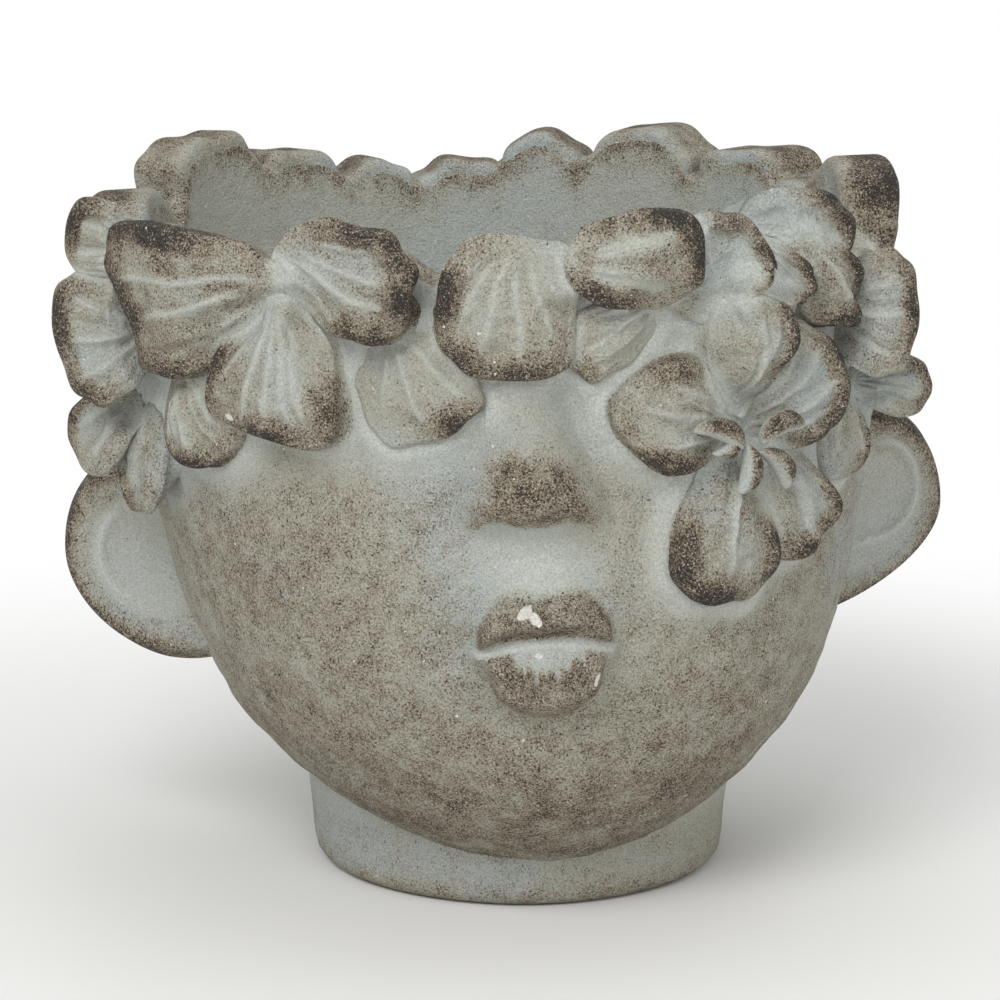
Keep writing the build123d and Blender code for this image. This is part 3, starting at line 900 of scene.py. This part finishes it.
class PLANTER_OT_neck(bpy.types.Operator):
    """Model the round neck that the head stands on"""

    bl_idname = "planter.neck"
    bl_label = "Neck"

    def execute(self, context):
        base, drain = size_of("neck_radius"), size_of("drain_radius")
        # Radius and height, from the drain hole out over the foot, up to the head and back inside it.
        profile = array(
            [
                (drain, 0.0), (base - 6, 0.0), (base - 2.2, 0.5), (base - 0.5, 2.0),
                (base + 0.1, 5.0), (base + 0.6, 12.0), (base + 1.6, 20.0), (base + 2.0, 25.0),
                (base - 5, 17.0), (base - 15, 13.0), (drain, 12.0), (drain, 0.0),
            ]
        )
        lengths = concatenate([[0], np.cumsum(np.linalg.norm(np.diff(profile, axis=0), axis=1))])
        rows, columns = 120, 220
        bm = bmesh.new()
        bmesh.ops.create_grid(bm, x_segments=columns, y_segments=rows, size=1)
        flat = vertex_array(bm.verts)
        bearing = pi * flat[:, 0]
        station = (flat[:, 1] + 1) / 2 * lengths[-1]
        radius = interp(station, lengths, profile[:, 0])
        height = interp(station, lengths, profile[:, 1])
        # The outside is a little uneven.
        outer = bell(height - 10, 12) * (radius > base - 4)
        radius = radius + outer * (0.35 * sin(3 * bearing + 0.6) + 0.2 * sin(7 * bearing + 2))
        move_vertices(bm.verts, stack([radius * sin(bearing), -radius * cos(bearing), height], axis=-1))
        paint(bm, wear=0.12 + 0.3 * ramp(8, 1, height), wash=0.5 * ramp(12, 22, height))
        close_seams(bm)
        finished_piece(bm, "Neck", ["neck_foot"])
        return {"FINISHED"}


class PLANTER_OT_ears(bpy.types.Operator):
    """Model both ears with their rolled rims and shallow hollows"""

    bl_idname = "planter.ears"
    bl_label = "Ears"

    bearing: angle_setting("Bearing", "Bearing of the ears", 88)
    flare: angle_setting("Flare", "Turn of the ears outwards", 28)
    reach: length_setting("Reach", "Distance of an ear's middle from the head", 8)

    def execute(self, context):
        # Side, name, and the ends and tilt of the fine line in the hollow.
        for ear in ((-1, "left_ear", -50, 45, 0), (1, "right_ear", -110, 85, 0.2)):
            self.model(*ear)
        return {"FINISHED"}

    def model(self, side, name, low_end, high_end, tilt):
        """Model one ear, on the side of -X or +X."""
        bm = bmesh.new()
        bmesh.ops.create_uvsphere(bm, u_segments=160, v_segments=96, radius=1)
        x, y, z = vertex_array(bm.verts).T
        turn = np.arccos(clip(z, -1, 1)) / pi
        angle = arctan2(y, x)
        u, v = cos(angle), sin(angle)

        # Section from the middle of the hollow, over the rolled rim and round to the back.
        share = interp(turn, *EAR_SHARES)
        front = ramp(0.6, 0.46, turn)
        degrees = np.degrees(angle)
        stretch = ramp(low_end - 20, low_end + 15, degrees) * ramp(high_end + 20, high_end - 15, degrees)
        line = front * stretch * bell(share - 0.47 - tilt * sin(angle), 0.045)
        out = interp(turn, *EAR_DEPTHS) - 1.8 * front * ramp(0.7, 0.2, share) + 1.2 * line
        # The lobe at the bottom draws in towards the head.
        low = clip(-v * share, 0, 1)
        across = u * share * size_of("ear_half_width") * (1 + 0.5 * (u < 0) * low) - (13 + 7 * side) * low**2
        along = v * share * size_of("ear_half_height")

        facing = array([side * sin(self.flare), -cos(self.flare), 0])
        outwards = array([side * cos(self.flare), sin(self.flare), 0])
        root = head_point(array(side * self.bearing), array(EAR_HEIGHT + side * EAR_LIFT))
        middle = root + outwards * self.reach / MM
        places = middle + np.outer(across, outwards) + np.outer(along, (0, 0, 1)) + np.outer(out, facing)
        # The root ends within the bowl's wall.
        from_axis = stack([places[:, 0] - lean_at(places[:, 2]), places[:, 1]])
        limit = head_reach(bearing_of(places), places[:, 2]) - EAR_ROOT_SHARE * size_of("wall")
        from_axis *= maximum(1, limit / hypot(*from_axis))
        places[:, 0], places[:, 1] = from_axis[0] + lean_at(places[:, 2]), from_axis[1]
        move_vertices(bm.verts, places)

        # The rim is rubbed, and the wash stays in the hollow, on the line and by the head.
        edge = ramp(0.34, 0.52, turn) * ramp(0.84, 0.7, turn) * ramp(-0.55, 0.2, u)
        hollow = front * ramp(0.66, 0.5, share) * ramp(-0.75, -0.15, u * share)
        wash = 0.5 * hollow + 0.8 * line + 0.7 * ramp(-0.3, -0.9, u * share)
        paint(bm, wear=clip(0.2 + 0.85 * edge, 0, 1), wash=clip(wash, 0, 1))
        finished_piece(bm, name.title().replace("_", ""), [name])


def seen_ray(tree):
    """1 where a ray is seen, also in a reflection or through glass, and 0 where it only carries light."""
    path = add_node(tree, "LightPath").node.outputs
    total = path["Is Camera Ray"]
    for other in ("Is Glossy Ray", "Is Transmission Ray"):
        total = add_node(tree, "Math", (total, path[other]), operation="MAXIMUM")
    return total


def paper_sweep():
    """Matt white paper, seen as plain white away from the planter's shadow."""
    paper = bpy.data.materials.new("White paper sweep")
    paper.use_nodes = True
    tree = paper.node_tree
    node = partial(add_node, tree)
    shader = tree.nodes["Principled BSDF"]
    shader.inputs["Base Color"].default_value = hex_colour("#F4F4F2")
    shader.inputs["Roughness"].default_value = 0.95
    place = node("TexCoord", output="Object")
    distance = node("VectorMath", (place,), output="Value", operation="LENGTH")
    away = node("MapRange", (distance, 0.12, 0.34), interpolation_type="SMOOTHSTEP")
    blank = node("Math", (away, seen_ray(tree)), operation="MULTIPLY")
    white = node("Emission")
    mixed = node("MixShader", (blank, shader.outputs[0], white))
    tree.links.new(mixed, tree.nodes["Material Output"].inputs["Surface"])
    return paper


class PLANTER_OT_stage(bpy.types.Operator):
    """Set the pale floor, the soft lights and the camera"""

    bl_idname = "planter.stage"
    bl_label = "Stage"

    def execute(self, context):
        scene = context.scene
        bm = bmesh.new()
        bmesh.ops.create_grid(bm, x_segments=1, y_segments=1, size=6)
        floor = new_object(bm, "Floor", paper_sweep())

        # The world lights the planter softly and is seen as white.
        world = bpy.data.worlds.new("Studio")
        scene.world = world
        world.use_nodes = True
        tree = world.node_tree
        surface = tree.nodes["Background"]
        surface.inputs["Color"].default_value = (1, 1, 1, 1)
        strength = add_node(tree, "MapRange", (seen_ray(tree), 0, 1, 0.45, 1))
        tree.links.new(strength, surface.inputs["Strength"])

        # Lamps: place and size in metres, and power in watts.
        middle = Vector((0, 0, 0.08))
        for name, place, size, power in (
            ("Key", (-0.5, -1.05, 1.05), 0.75, 12.2),
            ("Fill", (1.0, -1.0, 0.7), 1.0, 2.8),
            ("Top", (0.1, 0.2, 1.4), 0.9, 4.0),
        ):
            light = bpy.data.lights.new(name, "AREA")
            light.size = size
            light.energy = power
            lamp = bpy.data.objects.new(name, light)
            lamp.location = place
            lamp.rotation_euler = (middle - lamp.location).to_track_quat("-Z", "Y").to_euler()
            scene.collection.objects.link(lamp)

        view = bpy.data.cameras.new("Camera")
        view.lens = 131
        camera = bpy.data.objects.new("Camera", view)
        camera.location = (-0.0836, -0.7956, 0.252)
        target = Vector((-0.0045, 0, 0.081))
        camera.rotation_euler = (target - camera.location).to_track_quat("-Z", "Y").to_euler()
        scene.collection.objects.link(camera)
        scene.camera = camera
        scene.view_settings.view_transform = "Standard"
        return {"FINISHED"}


class PLANTER_PT_panel(bpy.types.Panel):
    """Lists the planter's sizes, its finish and its pieces"""

    bl_idname = "PLANTER_PT_panel"
    bl_label = "Head Planter"
    bl_space_type = "VIEW_3D"
    bl_region_type = "UI"
    bl_category = "Planter"

    def draw(self, context):
        for group in (context.scene.planter_sizes, context.scene.cement_finish):
            for key in group.__annotations__:
                self.layout.prop(group, key)
        for operator in OPERATORS:
            self.layout.operator(operator.bl_idname)


OPERATORS = (
    PLANTER_OT_wreath,
    PLANTER_OT_pistil,
    PLANTER_OT_ears,
    PLANTER_OT_head,
    PLANTER_OT_neck,
    PLANTER_OT_stage,
)
CLASSES = (PlanterSizes, CementFinish, *OPERATORS, PLANTER_PT_panel)


def register():
    for cls in CLASSES:
        bpy.utils.register_class(cls)
    bpy.types.Scene.planter_sizes = PointerProperty(type=PlanterSizes)
    bpy.types.Scene.cement_finish = PointerProperty(type=CementFinish)


def unregister():
    del bpy.types.Scene.cement_finish
    del bpy.types.Scene.planter_sizes
    for cls in reversed(CLASSES):
        bpy.utils.unregister_class(cls)


def main():
    """Make every piece and the stage."""
    register()
    bpy.ops.planter.wreath()
    bpy.ops.planter.pistil()
    bpy.ops.planter.ears()
    bpy.ops.planter.head()
    bpy.ops.planter.neck()
    bpy.ops.planter.stage()


if __name__ == "__main__":
    main()
